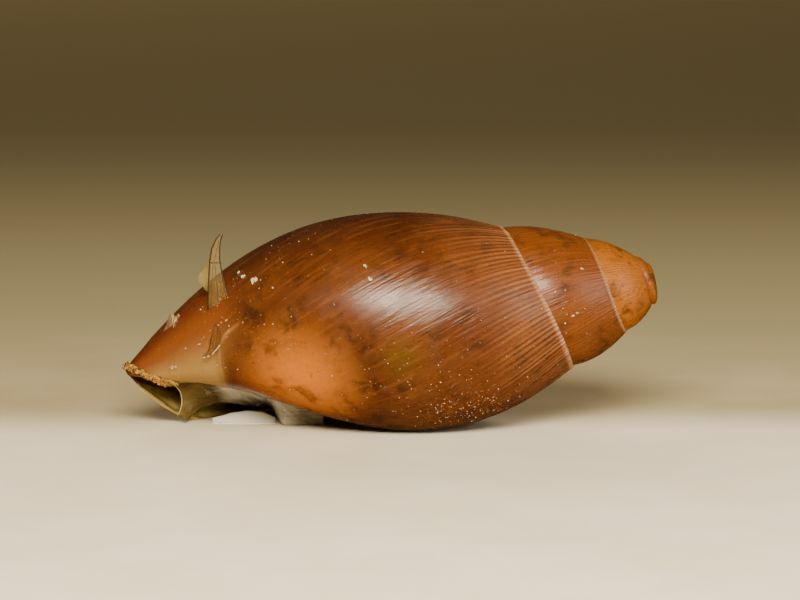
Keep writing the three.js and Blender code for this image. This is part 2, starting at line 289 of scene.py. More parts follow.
def slab(build, middle, thickness, look=0, **values):
    """A closed sheet of a given thickness about a grid of middle points."""
    rows, columns = middle.shape[:2]
    across = np.gradient(middle, axis=1)
    down = np.gradient(middle, axis=0)
    normal = np.cross(across, down)
    normal /= np.maximum(np.linalg.norm(normal, axis=-1, keepdims=True), 1e-9)
    half = np.broadcast_to(np.asarray(thickness, float), (rows, columns))[..., None] / 2.0
    points = np.stack([middle + normal * half, middle - normal * half]).reshape(-1, 3)
    count = rows * columns
    ids = np.arange(count).reshape(rows, columns)
    edge = np.concatenate([ids[0, :-1], ids[:-1, -1], ids[-1, :0:-1], ids[:0:-1, 0]])
    following = np.roll(edge, -1)
    rim = np.stack([edge, edge + count, following + count, following], axis=1)
    faces = [grid_faces(rows, columns), grid_faces(rows, columns, True) + count, rim]
    doubled = {name: np.tile(value.reshape(-1), 2) for name, value in values.items()}
    build.add(points, np.concatenate(faces), look, **doubled)


# ---- Materials ----


def linear(code):
    """The linear colour of an sRGB hex code."""
    channels = [int(code[i : i + 2], 16) / 255.0 for i in (1, 3, 5)]
    lit = [c / 12.92 if c <= 0.04045 else ((c + 0.055) / 1.055) ** 2.4 for c in channels]
    return (*lit, 1.0)


class Look:
    """A node material with short calls for the nodes that this scene uses."""

    def __init__(self, name, **settings):
        self.material = bpy.data.materials.new(name)
        self.material.use_nodes = True
        self.tree = self.material.node_tree
        self.shader = self.tree.nodes["Principled BSDF"]
        for socket, value in settings.items():
            self.shader.inputs[socket.replace("_", " ")].default_value = value
        coordinates = self.node("ShaderNodeTexCoord").outputs["Object"]
        self.here = self.vector("SCALE", coordinates, scale=1.0 / MM)

    def node(self, kind):
        return self.tree.nodes.new(kind)

    def put(self, socket, value):
        if isinstance(value, bpy.types.NodeSocket):
            self.tree.links.new(value, socket)
        else:
            socket.default_value = value

    def to(self, socket, value):
        self.put(self.shader.inputs[socket], value)

    def value(self, name):
        node = self.node("ShaderNodeAttribute")
        node.attribute_name = name
        return node.outputs["Fac"]

    def math(self, operation, a, b):
        node = self.node("ShaderNodeMath")
        node.operation = operation
        for socket, given in zip(node.inputs, (a, b)):
            self.put(socket, given)
        return node.outputs[0]

    def vector(self, operation, a, b=(0.0, 0.0, 0.0), scale=1.0):
        node = self.node("ShaderNodeVectorMath")
        node.operation = operation
        self.put(node.inputs[0], a)
        if operation == "SCALE":
            self.put(node.inputs["Scale"], scale)
        else:
            self.put(node.inputs[1], b)
        return node.outputs["Value" if operation == "DISTANCE" else "Vector"]

    def combine(self, x, y, z=0.0):
        node = self.node("ShaderNodeCombineXYZ")
        for socket, given in zip(node.inputs, (x, y, z)):
            self.put(socket, given)
        return node.outputs[0]

    def noise(self, vector, scale=1.0, detail=3.0, roughness=0.55, distortion=0.0):
        node = self.node("ShaderNodeTexNoise")
        self.put(node.inputs["Vector"], vector)
        for name, given in (("Scale", scale), ("Detail", detail), ("Roughness", roughness)):
            node.inputs[name].default_value = given
        node.inputs["Distortion"].default_value = distortion
        return node.outputs["Fac"]

    def ramp(self, value, low, high, bottom=0.0, top=1.0):
        node = self.node("ShaderNodeMapRange")
        node.interpolation_type = "SMOOTHSTEP"
        self.put(node.inputs["Value"], value)
        ends = {"From Min": low, "From Max": high, "To Min": bottom, "To Max": top}
        for name, given in ends.items():
            node.inputs[name].default_value = given
        return node.outputs["Result"]

    def times(self, *values):
        total = values[0]
        for given in values[1:]:
            total = self.math("MULTIPLY", total, given)
        return total

    def mix(self, part, a, b, blend="MIX"):
        node = self.node("ShaderNodeMix")
        node.data_type = "RGBA"
        node.blend_type = blend
        self.put(node.inputs["Factor"], part)
        self.put(node.inputs[6], a)
        self.put(node.inputs[7], b)
        return node.outputs[2]

    def spot(self, stage, along, radius):
        """1 at a place on the shell, falling to 0 at this radius from it."""
        middle = tuple((on_surface([stage], [along])[0] + SHIFT).tolist())
        distance = self.vector("DISTANCE", self.here, middle)
        return self.ramp(distance, 0.0, radius, 1.0, 0.0)

    def bump(self, height, distance_mm, strength=1.0):
        node = self.node("ShaderNodeBump")
        node.inputs["Strength"].default_value = strength
        node.inputs["Distance"].default_value = distance_mm * MM
        self.put(node.inputs["Height"], height)
        self.to("Normal", node.outputs["Normal"])


# Places on the shell, as stage and distance along, and how far their colour reaches.
# The glow's place: a painted glow of light through the thin wall, low at the front.
PAINTED_GLOW = (3.2, 17.4, 3.9)
GREEN_PATCH = (3.235, 12.6, 1.5)


def shell_look():
    look = Look(
        "snail_shell",
        Roughness=0.34,
        IOR=1.42,
        Subsurface_Weight=0.12,
        Subsurface_Radius=(1.0, 0.36, 0.12),
        Subsurface_Scale=0.6 * MM,
        Coat_Weight=0.1,
        Coat_Roughness=0.14,
    )
    stage, along = look.value("stage"), look.value("along")
    growth, seam = look.value("growth"), look.value("from_seam")
    crest = look.value("crest")
    here = look.here

    # Body colour, with painted shade on the top edge and a painted orange glow low at the front.
    cloud = look.noise(here, 0.28, 3.0)
    colour = look.mix(look.ramp(cloud, 0.35, 0.65), linear("#53280b"), linear("#643614"))
    # Painted shade: the top edge of the last whorl darkened to deep red brown.
    back = look.times(look.ramp(stage, 3.36, 3.5), look.ramp(stage, 3.76, 3.56))
    colour = look.mix(look.times(back, 0.8), colour, linear("#36140a"))
    # Painted glow: light shining through the thin wall, painted as bright orange.
    painted_glow = look.spot(*PAINTED_GLOW)
    colour = look.mix(look.times(painted_glow, 0.85), colour, linear("#dc7e1c"))
    green = look.spot(*GREEN_PATCH)
    colour = look.mix(look.times(green, 0.55), colour, linear("#5a4208"))
    spire_red = look.times(look.ramp(along, 11.5, 6.5), look.ramp(stage, 2.95, 3.0))
    colour = look.mix(look.times(spire_red, 0.5), colour, linear("#5e2c12"))

    # The earlier whorls.
    third = look.times(look.ramp(stage, 3.0, 2.985), look.ramp(stage, 1.95, 2.02))
    colour = look.mix(third, colour, look.mix(cloud, linear("#5e2c0c"), linear("#824818")))
    second = look.times(look.ramp(stage, 2.0, 1.99), look.ramp(stage, 0.9, 1.1))
    colour = look.mix(second, colour, look.mix(cloud, linear("#a45e12"), linear("#844a12")))
    speck = look.noise(look.vector("ADD", here, (5.0, 1.0, 8.0)), 4.5, 3.0, 0.6)
    specks = look.times(second, look.ramp(speck, 0.56, 0.66), 0.6)
    colour = look.mix(specks, colour, linear("#5a2a0c"))
    first = look.ramp(stage, 1.05, 0.95)
    colour = look.mix(first, colour, look.mix(cloud, linear("#7a420c"), linear("#8a4c10")))

    # Dried tissue seen through the wall.
    blotch = look.noise(here, 1.25, 4.0, 0.55, 0.4)
    large = look.noise(look.vector("ADD", here, (7.0, 3.0, 1.0)), 0.33, 2.0)
    dark = look.times(look.ramp(blotch, 0.45, 0.70), look.ramp(large, 0.36, 0.56))
    colour = look.mix(look.times(dark, 0.72), colour, linear("#2a180a"))
    freckle = look.noise(look.vector("ADD", here, (2.0, 9.0, 4.0)), 3.2, 3.0, 0.6)
    freckled = look.times(look.ramp(freckle, 0.6, 0.7), look.ramp(large, 0.6, 0.4))
    colour = look.mix(look.times(freckled, 0.4), colour, linear("#33180a"))

    # Growth streaks and pale rib crests, strongest below the seam.
    streak_at = look.combine(look.times(growth, 120.0), look.times(along, 0.35))
    streaks = look.noise(streak_at, 1.0, 3.0, 0.6)
    streak_part = look.ramp(streaks, 0.35, 0.7, -0.25, 0.2)
    colour = look.mix(look.math("MAXIMUM", streak_part, 0.0), colour, linear("#9a5a2a"))
    on_body = look.ramp(stage, 2.95, 3.0, 0.1, 1.0)
    ribs = look.times(crest, look.ramp(seam, 4.6, 0.3, 0.0, 0.5), on_body)
    colour = look.mix(ribs, colour, linear("#b07444"))

    # The front, grown last: thinner and beige, beyond a pale line.
    late = look.times(look.ramp(growth, 3.38, 3.49), look.ramp(along, 19.0, 21.4))
    beige = look.mix(look.ramp(stage, 3.38, 3.25), linear("#7e441a"), linear("#b08a4c"))
    colour = look.mix(look.times(late, 0.85), colour, beige)
    # Painted shade: the front's upper part darkened towards the top edge, as along the top above.
    high = look.ramp(stage, 3.385, 3.455)
    colour = look.mix(look.times(high, late, 0.7), colour, linear("#4e1e0e"))
    line = look.times(look.ramp(growth, 3.430, 3.438), look.ramp(growth, 3.446, 3.438))
    colour = look.mix(look.times(line, look.ramp(along, 19.3, 20.3), 0.35), colour, linear("#bd8a4c"))

    lobe = look.times(look.ramp(stage, 3.6, 3.75), look.ramp(along, 20.0, 22.0))
    colour = look.mix(look.times(lobe, 0.8), colour, linear("#5e4216"))
    margin = look.times(look.ramp(stage, 3.845, 3.87), look.ramp(along, 20.5, 22.0))
    colour = look.mix(look.times(margin, 0.9), colour, linear("#a08c4c"))

    # The seam's pale, beaded band.
    width = look.ramp(stage, 2.9, 3.0, 0.6, 1.0)
    near_seam = look.ramp(look.math("DIVIDE", seam, width), 0.32, 0.1)
    band = look.times(near_seam, look.ramp(stage, 1.6, 2.1))
    beads = look.math("ADD", look.times(crest, 0.6), 0.35)
    colour = look.mix(look.times(band, beads, 0.9), colour, linear("#c0926c"))

    grain = look.noise(here, 22.0, 2.0)
    colour = look.mix(look.ramp(grain, 0.62, 0.8, 0.0, 0.25), colour, linear("#3a1a0c"))
    look.to("Base Color", colour)

    smudge = look.noise(here, 0.9, 4.0, 0.6)
    look.to("Roughness", look.ramp(smudge, 0.3, 0.75, 0.24, 0.38))
    fine_at = look.combine(look.times(growth, 150.0), look.times(along, 0.3))
    fine = look.noise(fine_at, 1.0, 3.0, 0.55)
    lined = look.times(fine, look.ramp(along, 16.5, 11.0, 0.12, 1.0))
    look.bump(look.math("ADD", lined, look.times(grain, 0.08)), 0.05)
    return look.material


def film_look():
    look = Look("dried_film", Roughness=0.3, IOR=1.4, Coat_Weight=0.3, Coat_Roughness=0.1)
    here = look.here
    cloud = look.noise(here, 0.8, 4.0, 0.6)
    frost = look.value("frost")
    colour = look.mix(look.ramp(cloud, 0.3, 0.7), linear("#5e4820"), linear("#7c6432"))
    # The frosted part is pale: partly the film's own frost, partly painted light where it hangs in the
    # shell's shadow.
    colour = look.mix(frost, colour, look.mix(cloud, linear("#a89c7c"), linear("#e6e0d0")))
    look.to("Base Color", colour)
    cloudy = look.math("ADD", look.times(cloud, 0.25), 0.55)
    look.to("Alpha", look.math("ADD", cloudy, look.times(frost, 0.15)))
    look.bump(look.noise(here, 5.0, 4.0, 0.6), 0.03, 0.5)
    return look.material


def flap_look():
    look = Look("film_flap", Roughness=0.12, IOR=1.45, Coat_Weight=0.6, Coat_Roughness=0.05)
    cloud = look.noise(look.here, 1.5, 3.0)
    # Near white: the dried film's pale colour, with a painted highlight of its glossy reflection on
    # top.
    look.to("Base Color", look.mix(cloud, linear("#efece2"), linear("#fffdf6")))
    look.bump(look.noise(look.here, 3.0, 2.0), 0.02, 0.4)
    return look.material


def wing_look(name, pale, dark, clear):
    look = Look(name, Roughness=0.3, IOR=1.5)
    cloud = look.noise(look.here, 2.5, 3.0)
    look.to("Base Color", look.mix(cloud, linear(pale), linear(dark)))
    look.to("Alpha", look.ramp(cloud, 0.2, 0.8, clear - 0.1, clear + 0.1))
    look.bump(look.noise(look.here, 9.0, 2.0), 0.01, 0.12)
    return look.material


def vein_look():
    look = Look("wing_vein", Roughness=0.4)
    look.to("Base Color", look.mix(look.noise(look.here, 6.0), linear("#2a1a08"), linear("#4c3010")))
    return look.material


def edge_look():
    look = Look("film_edge", Roughness=0.25, IOR=1.4)
    cloud = look.noise(look.here, 3.0)
    # Pale: the film's thickened rim, with a painted highlight along its edges.
    look.to("Base Color", look.mix(cloud, linear("#a89a62"), linear("#c9bf93")))
    return look.material


def glint_look():
    look = Look("wing_glint", Roughness=0.15, IOR=1.5, Coat_Weight=0.5, Coat_Roughness=0.06)
    look.to("Base Color", look.mix(look.noise(look.here, 5.0), linear("#b8945e"), linear("#dccaa6")))
    return look.material


def crumb_look(name, pale, dark, deep):
    look = Look(name, Roughness=0.75, Subsurface_Weight=0.1, Subsurface_Scale=0.1 * MM)
    cloud = look.noise(look.here, 6.0, 5.0, 0.65)
    colour = look.mix(look.ramp(cloud, 0.35, 0.62), linear(dark), linear(pale))
    colour = look.mix(look.ramp(look.noise(look.here, 2.2, 2.0), 0.55, 0.68), colour, linear(deep))
    look.to("Base Color", colour)
    look.bump(look.noise(look.here, 24.0, 4.0, 0.7), 0.04, 0.9)
    return look.material


# ---- The shell ----

OUTER_ROWS, INNER_ROWS, INNER_STEPS = 52, 16, 200
RIBS_PER_WHORL = 108
NUCLEUS_SIDES, NUCLEUS_ROWS = 72, 14


def outer_stages():
    """Stages crowded into the last whorl, where the ribs are finest."""
    stage = np.linspace(START_STAGE, LIP_STAGE, 4000)
    density = 150.0 + 270.0 * smooth((stage - 1.6) / 0.5) + 500.0 * smooth((stage - 2.7) / 0.4)
    total = np.concatenate([[0.0], np.cumsum((density[1:] + density[:-1]) / 2.0 * np.diff(stage))])
    return np.interp(np.arange(0.0, total[-1], 1.0), total, stage)


def sheet_grid(stages, parts):
    """The stage and along-distance of each point. The last quarter whorl is drawn in to the lip."""
    ends = lip_stage(parts)
    ease = np.clip((stages - (LIP_STAGE - 0.5)) / 0.5, 0.0, 1.0)[:, None]
    stage = stages[:, None] + (ends[None, :] - LIP_STAGE) * ease**2
    return stage, lerp(seam_at(stage), foot_at(stage), parts[None, :])


def growth_at(stage, along):
    """When each place was grown, as the stage that the lip had reached."""
    lip = stage + 0.0106 * (along - 11.4)
    front = 3.43 + 0.5 * (along - 20.9) / np.maximum(foot_at(stage) - 20.9, 1.0)
    front = np.where(stage > 2.9, front, lip - 1.0)
    corner = 0.025
    gap = np.abs(lip - front) / corner
    return np.maximum(lip, front) + corner * np.log1p(np.exp(-gap))


def relief(stage, along):
    """The outer surface's height over the growth laws, and how far each place is up a rib."""
    growth = growth_at(stage, along)
    seam = along - seam_at(stage)
    wobble = waves(11, 20.0, 150.0)(growth) * 0.004 + waves(12, 0.3, 1.5)(along) * 0.0015
    phase = RIBS_PER_WHORL * (growth + wobble)
    crest = (0.5 + 0.5 * np.cos(2.0 * math.pi * phase)) ** 0.8
    strength = 0.75 + 0.35 * waves(13, 150.0, 600.0)(growth) + 0.15 * waves(14, 0.5, 3.0)(along)
    crest = crest * np.clip(strength, 0.15, 1.3)
    size = 0.028 * np.exp(-seam / 0.9) + 0.013 * fade(seam, 5.0, 12.5) + 0.002
    size = size * lerp(0.12, 1.0, smooth((stage - 2.9) / 0.1))
    size = size * lerp(0.25, 1.0, smooth((20.0 - along) / 5.0))
    folds = 0.010 * waves(15, 25.0, 90.0)(growth) * smooth(seam / 2.0)
    band = 0.018 * np.exp(-(((seam - 0.14) / 0.12) ** 2)) * smooth((stage - 1.5) / 1.5)
    return size * crest + folds + band, crest, growth


def sheet_points(stages, parts, inside):
    stage, along = sheet_grid(stages, parts)
    height, crest, growth = relief(stage, along)
    if inside:
        points = on_surface(stage, along, -wall_at(stage))
        core = place(along, np.minimum(radius_at(stage, along), PILLAR_RADIUS) / 2.0, stage)
        solid = (stage < 1.0)[..., None]
        points = np.where(solid, core, points)
    else:
        points = on_surface(stage, along, height)
    seam_stage, seam_along = stage[:, 0], along[:, 0]
    wall_below = wall_at(np.maximum(seam_stage - 1.0, 0.0))
    depth = wall_below - SEAM_EMBED / 2.0 if inside else SEAM_EMBED
    radius = np.maximum(seam_radius(seam_stage) - depth, 0.02)
    let_in = place(seam_along, radius, seam_stage)
    points[:, 0] = np.where((seam_stage >= 1.0)[:, None], let_in, points[:, 0])
    points[..., 2] = np.maximum(points[..., 2], GROUND)
    values = {"stage": stage, "along": along, "growth": growth, "crest": crest}
    values["from_seam"] = along - seam_at(stage)
    return points, values


def add_nucleus(build):
    """The rounded first part: the profile that the spiral starts from, turned all the way round."""
    turns = np.arange(NUCLEUS_SIDES) / NUCLEUS_SIDES
    parts = np.linspace(0.0, 1.0, NUCLEUS_ROWS) ** 2
    along = lerp(seam_at(START_STAGE), foot_at(START_STAGE), parts)
    radius = radius_at(START_STAGE, along)
    spread = np.ones(NUCLEUS_SIDES)
    rings = [place(a * spread, r * spread, turns) for a, r in zip(along, radius)]
    ends = [place(np.array([a]), np.array([0.0]), np.array([0.0])) for a in (along[0], along[-1])]
    points = np.concatenate([ends[0], *rings, ends[1]])
    ring = 1 + np.arange(NUCLEUS_SIDES)
    following = np.roll(ring, -1)
    faces = []
    for row in range(NUCLEUS_ROWS - 1):
        here, below = row * NUCLEUS_SIDES, (row + 1) * NUCLEUS_SIDES
        faces.append(np.stack([ring + here, following + here, following + below], axis=1))
        faces.append(np.stack([ring + here, following + below, ring + below], axis=1))
    last = (NUCLEUS_ROWS - 1) * NUCLEUS_SIDES
    faces.append(np.stack([np.zeros_like(ring), following, ring], axis=1))
    tail = np.full_like(ring, len(points) - 1)
    faces.append(np.stack([tail, ring + last, following + last], axis=1))
    places = np.concatenate([[along[0]], np.repeat(along, NUCLEUS_SIDES), [along[-1]]])
    build.add(points, np.concatenate(faces), stage=START_STAGE, along=places, growth=START_STAGE)


def shell_piece():
    stages = outer_stages()
    parts = np.linspace(0.0, 1.0, OUTER_ROWS) ** 1.45
    few_stages = np.linspace(START_STAGE, LIP_STAGE, INNER_STEPS)
    few_parts = np.linspace(0.0, 1.0, INNER_ROWS) ** 1.2
    build = Build()
    outer, outer_values = sheet_points(stages, parts, False)
    inner, inner_values = sheet_points(few_stages, few_parts, True)
    outer_ids = np.arange(outer[..., 0].size).reshape(outer.shape[:2])
    inner_ids = np.arange(inner[..., 0].size).reshape(inner.shape[:2]) + outer_ids.size
    points = np.concatenate([outer.reshape(-1, 3), inner.reshape(-1, 3)])
    values = {
        name: np.concatenate([outer_values[name].reshape(-1), inner_values[name].reshape(-1)])
        for name in outer_values
    }
    span = LIP_STAGE - START_STAGE
    at, few_at = (stages - START_STAGE) / span, (few_stages - START_STAGE) / span
    build.add(points, grid_faces(*outer.shape[:2], flip=True), **values)
    offset = outer_ids.size
    build.faces.append(grid_faces(*inner.shape[:2]) + offset)
    build.faces.append(zip_faces(outer_ids[:, 0], at, inner_ids[:, 0], few_at))
    build.faces.append(zip_faces(inner_ids[:, -1], few_at, outer_ids[:, -1], at))
    build.faces.append(zip_faces(inner_ids[0], few_parts, outer_ids[0], parts))
    build.faces.append(zip_faces(outer_ids[-1], parts, inner_ids[-1], few_parts))
    build.looks = [np.zeros(sum(len(group) for group in build.faces))]
    add_nucleus(build)
    piece = build.object("shell_surface", [shell_look()])
    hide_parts("shell")
    return piece


# ---- What is stuck to the shell ----

FILM_STAGE, FILM_BACK, FILM_FRONT = 2.995, 16.7, 23.62
FILM_SAG, FILM_THICKNESS = -0.04, 0.03
FILM_CLEARANCE = 0.03
TEAR_MIDDLE, TEAR_REACH, TEAR_DEPTH = 21.6, 1.6, 0.35
CURTAIN_ALONG, CURTAIN_SETBACK = (18.4, 19.4), 0.25
WING_STAGE, WING_THICKNESS = 3.412, 0.022


def tube(build, path, radius, look=0, sides=6):
    """A closed round strand along a path, with a radius at each point."""
    path = np.asarray(path, float)
    radius = np.broadcast_to(np.asarray(radius, float), len(path))
    along = np.gradient(path, axis=0)
    along /= np.linalg.norm(along, axis=1, keepdims=True)
    side = np.cross(along, [0.31, 0.94, 0.13])
    side /= np.linalg.norm(side, axis=1, keepdims=True)
    up = np.cross(along, side)
    turns = 2.0 * math.pi * np.arange(sides) / sides
    ring = np.cos(turns)[None, :, None] * side[:, None] + np.sin(turns)[None, :, None] * up[:, None]
    points = (path[:, None] + ring * radius[:, None, None]).reshape(-1, 3)
    points = np.concatenate([points, path[:1], path[-1:]])
    first = np.arange(sides)
    following = np.roll(first, -1)
    faces = []
    for row in range(len(path) - 1):
        here, on = row * sides, (row + 1) * sides
        faces.append(np.stack([first + here, first + on, following + on], axis=1))
        faces.append(np.stack([first + here, following + on, following + here], axis=1))
    last = (len(path) - 1) * sides
    faces.append(np.stack([np.full(sides, len(points) - 2), first, following], axis=1))
    faces.append(np.stack([np.full(sides, len(points) - 1), following + last, first + last], axis=1))
    build.add(points, np.concatenate(faces), look)


def film_tear(along):
    """How far down the film reaches: 1 where it meets the ground, less where it is torn away."""
    near_tear = np.clip(1.0 - ((along - TEAR_MIDDLE) / TEAR_REACH) ** 2, 0.0, 1.0)
    ragged = 0.02 * waves(31, 4.0, 25.0)(along)
    return 1.0 - (TEAR_DEPTH - ragged) * near_tear


def film_place(along, part):
    """Points on the film: part 0 under the body whorl, 1 where the lip meets the ground.

    Behind the tear it hangs to the ground as a curtain, straight below the body whorl.
    """
    stage = contact_stage(along)
    top = on_surface(np.full_like(along, FILM_STAGE), along, -0.05)
    bottom = on_surface(stage - 0.004, along, -wall_at(stage))
    bottom[..., 2] = np.maximum(bottom[..., 2], GROUND + FILM_CLEARANCE)
    below = top + [0.0, CURTAIN_SETBACK, 0.0]
    below[..., 2] = GROUND + FILM_CLEARANCE
    bottom = lerp(bottom, below, fade(along, *CURTAIN_ALONG)[..., None])
    point = lerp(top, bottom, part[..., None])
    point[..., 2] += FILM_SAG * np.sin(math.pi * part) * fade(along, 21.0, 23.0)
    return point


def film_edge(part):
    """Where the film's free front edge lies, curving back from the arch and down to the ground."""
    return FILM_FRONT - 0.44 * np.sin(math.pi * part**0.62)


def film_piece():
    build = Build()
    across, down = np.meshgrid(np.linspace(0.0, 1.0, 90), np.linspace(0.0, 1.0, 36), indexing="ij")
    along = lerp(FILM_BACK, film_edge(down), across)
    part = down * film_tear(along)
    points = film_place(along, part)
    folds = waves(32, 5.0, 22.0)(along + 1.4 * part)
    folds = folds + waves(33, 6.0, 30.0)(3.0 * part - 0.6 * along)
    crumpled = np.exp(-(((along - 20.0) / 1.0) ** 2)) * smooth(part / 0.4)
    points[..., 1] += (0.015 + 0.13 * crumpled) * folds * smooth(down / 0.1)
    # Where the film is frosted; its pale colour there is partly painted light.
    frost = lerp(0.25, 1.0, smooth((along - 17.4) / 1.4)) * fade(along, 20.9, 21.7)
    slab(build, points, FILM_THICKNESS, 0, frost=frost)
    run = np.linspace(0.02, 1.0, 40)
    edge = film_place(film_edge(run), run * film_tear(film_edge(run)))
    tube(build, edge, 0.028, 1)
    torn = np.linspace(19.4, 23.0, 60)
    hem = film_place(torn, film_tear(torn))
    tube(build, hem, 0.016 + 0.008 * waves(34, 3.0, 20.0)(torn), 1)
    piece = build.object("dried_film", [film_look(), edge_look()])
    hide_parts("mucus_film")
    return piece


FLAP_ACROSS = (-21.1, -18.1)
FLAP_DEPTH = 0.65


def flap_piece():
    """The film's torn-off foot, dried to the ground with its far edge curled up."""
    build = Build()
    run, rise = np.meshgrid(np.linspace(0.0, 1.0, 48), np.linspace(0.0, 1.0, 14), indexing="ij")
    across = lerp(*FLAP_ACROSS, run)
    hump = np.sin(math.pi * run**1.25) ** 0.8
    ripple = 0.4 * waves(35, 3.0, 9.0)(run * 3.0)
    depth = FLAP_DEPTH + 0.2 * (1.0 - hump) + (0.65 + 0.3 * hump) * rise + 0.03 * ripple
    height = 0.015 + (0.15 + 0.32 * hump) * rise**1.6 + 0.015 * ripple * rise
    points = np.stack([across, depth, GROUND + height], axis=-1)
    slab(build, points, 0.02)
    piece = build.object("film_flap", [flap_look()])
    return piece


WING_HEIGHTS = [0.0, 0.7, 1.35, 1.95, 2.55, 3.0, 3.24]
WING_RIGHT = [0.47, 0.38, 0.24, 0.14, 0.12, 0.19, 0.28]
WING_LEFT = [-0.42, -0.40, -0.37, -0.33, -0.235, -0.03, 0.19]
LOBE_HEIGHTS = [0.6, 0.8, 1.0, 1.27, 1.55, 1.83, 2.2]
LOBE_EDGE = [-0.50, -0.72, -0.86, -0.86, -0.67, -0.48, -0.28]
CROSS_VEIN_HEIGHT = 1.9

# The upright wing's veins along it: their places across it at both ends, 0 at its left edge and 1 at
# its right, then the heights at both ends and the radius.
WING_VEINS = [
    (0.15, 0.30, 0.0, 1.9, 0.010),
    (0.55, 0.50, 0.0, 1.9, 0.013),
    (0.80, 0.74, 0.0, 1.2, 0.009),
    (0.45, 0.75, 1.9, 2.9, 0.010),
]


def across_wing(height, part):
    """How far right of the wing's middle this part of its width lies, 0 at its left edge."""
    left = np.interp(height, WING_HEIGHTS, WING_LEFT)
    right = np.interp(height, WING_HEIGHTS, WING_RIGHT)
    return lerp(left, right, part)


def wing_place(out, height):
    """Points on the upright wing, by the distance right of its middle and the height over its foot."""
    part = np.clip((out + 0.9) / 1.4, 0.0, 1.0)
    foot = on_surface(np.full_like(out, WING_STAGE), lerp(21.45, 20.05, part), 0.03)
    middle = on_surface(np.array([WING_STAGE]), np.array([20.55]), 0.03)[0]
    settle = smooth(height / 0.8)
    depth = lerp(foot[..., 1], middle[1], settle * 0.6) + 0.05 * height + 0.05 * np.sin(7.0 * out)
    level = lerp(foot[..., 2], middle[2], settle) + height
    return np.stack([middle[0] + out, depth, level], axis=-1)


def upright_wing_piece():
    build = Build()
    heights = np.linspace(-0.05, WING_HEIGHTS[-1], 60)
    height, across = np.meshgrid(heights, np.linspace(0.0, 1.0, 16), indexing="ij")
    slab(build, wing_place(across_wing(height, across), height), WING_THICKNESS, 0)
    heights = np.linspace(LOBE_HEIGHTS[0], LOBE_HEIGHTS[-1], 34)
    height, across = np.meshgrid(heights, np.linspace(0.0, 1.0, 10), indexing="ij")
    left = np.interp(height, LOBE_HEIGHTS, LOBE_EDGE)
    lobe = wing_place(lerp(left, across_wing(height, 0.0), across), height)
    lobe[..., 1] += 0.10 * (1.0 - across)
    slab(build, lobe, WING_THICKNESS, 1)
    run = np.linspace(0.0, 3.22, 40)
    for part, radius in ((0.0, 0.036), (1.0, 0.032)):
        tube(build, wing_place(across_wing(run, part), run), radius * (1.15 - 0.2 * run / 3.2), 2)
    for start, end, low, high, radius in WING_VEINS:
        run = np.linspace(low, high, 24)
        out = across_wing(run, np.linspace(start, end, 24))
        tube(build, wing_place(out, run), radius, 2)
    cross = np.full(12, CROSS_VEIN_HEIGHT)
    tube(build, wing_place(across_wing(cross, np.linspace(0.0, 1.0, 12)), cross), 0.026, 2)
    looks = [
        wing_look("wing_blade", "#94793e", "#86693a", 0.24),
        wing_look("wing_lobe", "#a08a4c", "#87723c", 0.5),
        vein_look(),
    ]
    piece = build.object("upright_wing_blade", looks)
    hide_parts("upright_wing")
    return piece


def flat_wing_piece():
    """A small wing that lies down the near side, its lower edge dried into glinting curls."""
    build = Build()
    down, across = np.meshgrid(np.linspace(0.0, 1.0, 40), np.linspace(0.0, 1.0, 14), indexing="ij")
    stage = lerp(3.368, 3.300, down)
    front = lerp(20.80, 21.52, down**0.9)
    back = 20.72 - 0.22 * np.sin(math.pi * down**0.8) + 0.25 * down**3
    along = lerp(front, back, across)
    curl = 0.26 * smooth((down - 0.72) / 0.28) + 0.14 * across**6
    height = 0.05 + curl + 0.03 * waves(36, 4.0, 12.0)(3.0 * across + 2.0 * down)
    points = on_surface(stage, along, height)
    slab(build, points, 0.02, 0)
    tube(build, points[:, 0], 0.02, 1)
    tube(build, points[:, 7], 0.012, 1)
    tube(build, points[28:, 13], 0.022, 2)
    for first, last in ((0, 4), (5, 9)):
        tube(build, points[39, first:last], 0.032, 2)
    looks = [wing_look("flat_wing_blade", "#8f6230", "#774a20", 0.3), vein_look(), glint_look()]
    piece = build.object("flat_wing_blade", looks)
    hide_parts("flat_wing")
    return piece


SCRAP_PARTS = [0.0, 0.3, 0.42, 0.6, 0.72, 0.85, 1.0]
SCRAP_TOPS = [0.02, 0.42, 0.60, 0.50, 0.20, 0.32, 0.05]


def scrap_piece():
    """A torn scrap of wing that stands off the back near the tip."""
    build = Build()
    across, rise = np.meshgrid(np.linspace(0.0, 1.0, 24), np.linspace(0.0, 1.0, 8), indexing="ij")
    top = np.interp(across, SCRAP_PARTS, SCRAP_TOPS)
    along = lerp(23.4, 22.4, across)
    points = on_surface(np.full_like(along, 3.452), along, 0.0)
    points[..., 2] += rise * top - 0.03
    points[..., 1] += 0.10 * rise + 0.04 * np.sin(9.0 * across)
    slab(build, points, 0.025, 0)
    for spot in (13, 15, 18):
        strand = points[spot].copy()
        strand[:, 0] += np.linspace(0.08, -0.04, 8)
        strand[:, 2] -= np.linspace(0.35, 0.0, 8)
        strand[:, 1] -= 0.18
        tube(build, strand, 0.010, 1)
    looks = [wing_look("scrap_blade", "#6d4a26", "#8f7a4e", 0.7), glint_look()]
    piece = build.object("wing_scrap_blade", looks)
    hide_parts("wing_scrap")
    return piece


# ---- Dirt ----


